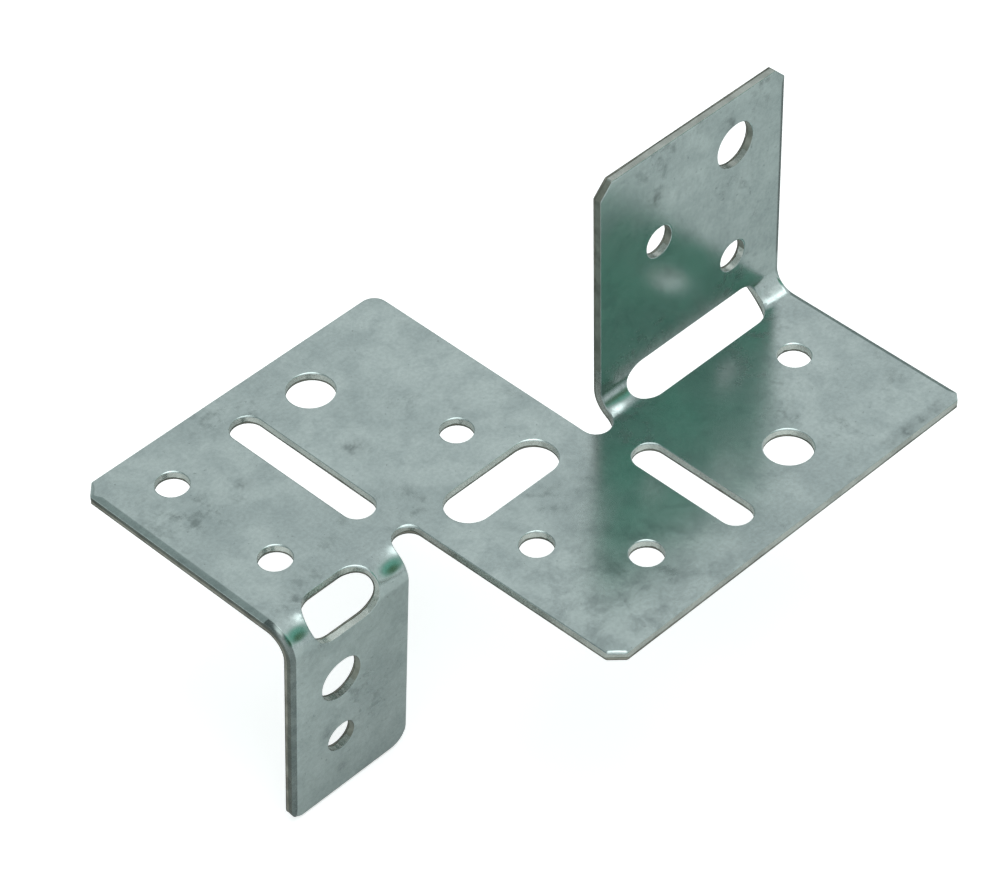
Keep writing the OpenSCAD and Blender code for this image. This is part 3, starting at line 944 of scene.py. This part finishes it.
# %% Cut edges
GRAIN, PATCHES = (2200, 4, 0.65), (280, 3, 0.6)
GRAIN_RANGE, PATCH_RANGE = (0.3, 0.7), (0.38, 0.66)
GRAIN_SHADE = (0.9, 1.06)
SMOOTHER, ROUGHER = 0.06, 0.08
GRAIN_DEPTH = 0.00005
CUT_BANDS = [
    # name, pale and dark colour, roughness, metallic, strength of the grain
    ("sheared_band", (0.53, 0.56, 0.52, 1), (0.40, 0.425, 0.39, 1), 0.26, 1.0, 0.15),
    ("torn_band", (0.37, 0.365, 0.315, 1), (0.23, 0.225, 0.19, 1), 0.60, 0.4, 0.5),
    # Painted shade: dark colours for the crease and for the lip below it.
    ("crease_painted_shade", (0.19, 0.20, 0.165, 1), (0.10, 0.11, 0.09, 1), 0.6, 0.4, 0.4),
    ("lip_painted_shadow", (0.10, 0.105, 0.09, 1), (0.05, 0.055, 0.045, 1), 0.6, 0.4, 0.4),
    # Painted shade in the next two and painted light in the third: darker and lighter copies of
    # the sheared band.
    ("sheared_band_painted_shade", (0.145, 0.165, 0.14, 1), (0.085, 0.10, 0.085, 1), 0.30, 0.8, 0.2),
    ("sheared_band_painted_shade_brown", (0.36, 0.38, 0.33, 1), (0.24, 0.255, 0.215, 1), 0.34, 0.8, 0.3),
    ("sheared_band_painted_light", (0.74, 0.78, 0.73, 1), (0.60, 0.64, 0.60, 1), 0.26, 1.0, 0.15),
    # A darker zinc for some of the rolls.
    ("darker_roll_zinc", (0.24, 0.28, 0.27, 1), (0.17, 0.205, 0.20, 1), 0.24, 1.0, 0.1),
]


def cut_band(name, pale, dark, rough, metallic, strength):
    material, nodes, links, shader = new_material(name)
    where = nodes.new("ShaderNodeTexCoord").outputs["Object"]
    grain = noise(nodes, links, where, *GRAIN)
    patches = spread(nodes, links, noise(nodes, links, where, *PATCHES), *PATCH_RANGE)
    colour = mixed(nodes, links, patches, pale, dark)
    shade = spread(nodes, links, grain, *GRAIN_RANGE, *GRAIN_SHADE)
    links.new(mixed(nodes, links, 1.0, colour, shade, "MULTIPLY"), shader.inputs["Base Color"])
    rough_range = (rough - SMOOTHER, rough + ROUGHER)
    links.new(spread(nodes, links, grain, *GRAIN_RANGE, *rough_range), shader.inputs["Roughness"])
    shader.inputs["Metallic"].default_value = metallic
    bumped(nodes, links, shader, grain, strength, GRAIN_DEPTH)
    return material


finishes = [zinc] + [cut_band(*look) for look in CUT_BANDS]
print("finishes:", [finish.name for finish in finishes])

# %% Give each band its finish
FINISH_OF_BAND = {
    FACE: "zinc_skin", ROLLED: "zinc_skin", UNDER: "zinc_skin", DARKER_ROLL: "darker_roll_zinc",
    SHEARED: "sheared_band", PAINTED_LIGHT_WALL: "sheared_band_painted_light",
    PAINTED_SHADE_BROWN_WALL: "sheared_band_painted_shade_brown", PAINTED_SHADE_WALL: "sheared_band_painted_shade",
    CREASED: "crease_painted_shade", TORN: "torn_band", LIPPED: "lip_painted_shadow",
}
for finish in finishes:
    bracket_mesh.materials.append(finish)
finish_index = {finish.name: i for i, finish in enumerate(finishes)}
bracket_mesh.polygons.foreach_set(
    "material_index", [finish_index[FINISH_OF_BAND[kind]] for kind in face_bands])
bracket_mesh.update()
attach(bracket, "root")
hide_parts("bracket")
face_counts = Counter(FINISH_OF_BAND[kind] for kind in face_bands)
print("triangles of each finish:", dict(face_counts))

# %% [markdown]
# ## The floor
#
# The bracket stands on a plain pale floor that runs out of sight, so there is no horizon. A
# glow that only the camera sees lifts it to white and keeps the object's soft shadow. Metal
# gets to see a little of that glow. It also sees the back part of the floor darker than the
# front, as if the tent's far wall shaded it, which gives the legs their grey.

# %% Floor
FLOOR_SIZE, FLOOR_GAP = 6, 0.0005
FLOOR_PALE, FLOOR_SHADED = (0.80, 0.80, 0.80, 1), (0.49, 0.525, 0.52, 1)
SHADED_WAY, SHADED_FROM, SHADED_FULL = (0.45, 0.89, 0), -0.03, 0.05
FLOOR_ROUGHNESS = 0.9
FLOOR_GLOW, GLOW_IN_METAL = 0.62, 0.12


def pale_floor():
    spot = (0, 0, cad_box[0][2] - FLOOR_GAP)
    bpy.ops.mesh.primitive_plane_add(size=FLOOR_SIZE, location=spot)
    floor = bpy.context.object
    floor.name = "floor"
    material, nodes, links, shader = new_material("pale_floor")
    path = nodes.new("ShaderNodeLightPath")
    where = nodes.new("ShaderNodeTexCoord").outputs["Object"]
    back = measured(nodes, links, "DOT_PRODUCT", where, SHADED_WAY)
    shaded = spread(nodes, links, back, SHADED_FROM, SHADED_FULL)
    in_metal = multiplied(nodes, links, shaded, path.outputs["Is Glossy Ray"])
    colour = mixed(nodes, links, in_metal, FLOOR_PALE, FLOOR_SHADED)
    links.new(colour, shader.inputs["Base Color"])
    shader.inputs["Roughness"].default_value = FLOOR_ROUGHNESS
    shader.inputs["Specular IOR Level"].default_value = 0.0
    shader.inputs["Emission Color"].default_value = (1, 1, 1, 1)
    metal_glow = multiplied(nodes, links, path.outputs["Is Glossy Ray"], GLOW_IN_METAL)
    glow = calculated(nodes, links, "MAXIMUM", path.outputs["Is Camera Ray"], metal_glow)
    links.new(multiplied(nodes, links, glow, FLOOR_GLOW), shader.inputs["Emission Strength"])
    floor.data.materials.append(material)
    return floor


floor = pale_floor()
print("floor at z =", round(floor.location.z / MM, 2), "mm")

# %% [markdown]
# ## The light
#
# Metal shows what stands round it, so the studio matters as much as the finish. The bracket
# stands in a pale tent, and most of what it reflects is pale grey. A dark green panel to the
# right of the camera, darker in its middle, shows in the corner under the up leg and as a
# thin band on the down fold. A small bright panel overhead makes the bright spots on the
# folds and the bright rims of the holes, and a wide one on the camera's side keeps the left
# rolls pale. The far side of the tent is dim, which draws a dark line along the edges that
# face away. All of this is the world's colour, worked out from the direction alone. Lamps
# could make the bright panels, but in the world they can't throw a hard shadow.

# %% Tent
TENT = (0.73, 0.77, 0.775, 1)
PANELS = [
    # way, degrees from its middle where it starts and where it is full, colour
    ((0.75, 0.65, 0.08), 30, 14, (0.22, 0.275, 0.265, 1)),
    ((-0.35, 0.61, 0.71), 50, 28, (0.34, 0.395, 0.39, 1)),
    ((0.51, -0.60, 0.62), 28, 14, (0.15, 0.45, 0.345, 1)),
    ((0.51, -0.70, 0.50), 15, 7, (0.07, 0.16, 0.08, 1)),
    ((0.05, -0.05, 1.0), 24, 7, (2.7, 2.8, 2.8, 1)),
    ((-0.36, -0.36, 0.86), 30, 8, (1.0, 1.03, 1.03, 1)),
]
BACKGROUND = (1, 1, 1, 1)


def cosine(degrees):
    return math.cos(math.radians(degrees))


def studio_tent():
    world = bpy.data.worlds.new("tent")
    bpy.context.scene.world = world
    world.use_nodes = True
    nodes, links = world.node_tree.nodes, world.node_tree.links
    way = nodes.new("ShaderNodeTexCoord").outputs["Generated"]
    colour = TENT
    for middle, start, full, panel in PANELS:
        toward = measured(nodes, links, "DOT_PRODUCT", way, Vector(middle).normalized())
        share = spread(nodes, links, toward, cosine(start), cosine(full))
        colour = mixed(nodes, links, share, colour, panel)
    path = nodes.new("ShaderNodeLightPath")
    colour = mixed(nodes, links, path.outputs["Is Camera Ray"], colour, BACKGROUND)
    links.new(colour, nodes["Background"].inputs["Color"])


studio_tent()
bpy.context.scene.view_settings.view_transform = "Standard"
print("studio ready with", len(PANELS), "panels")
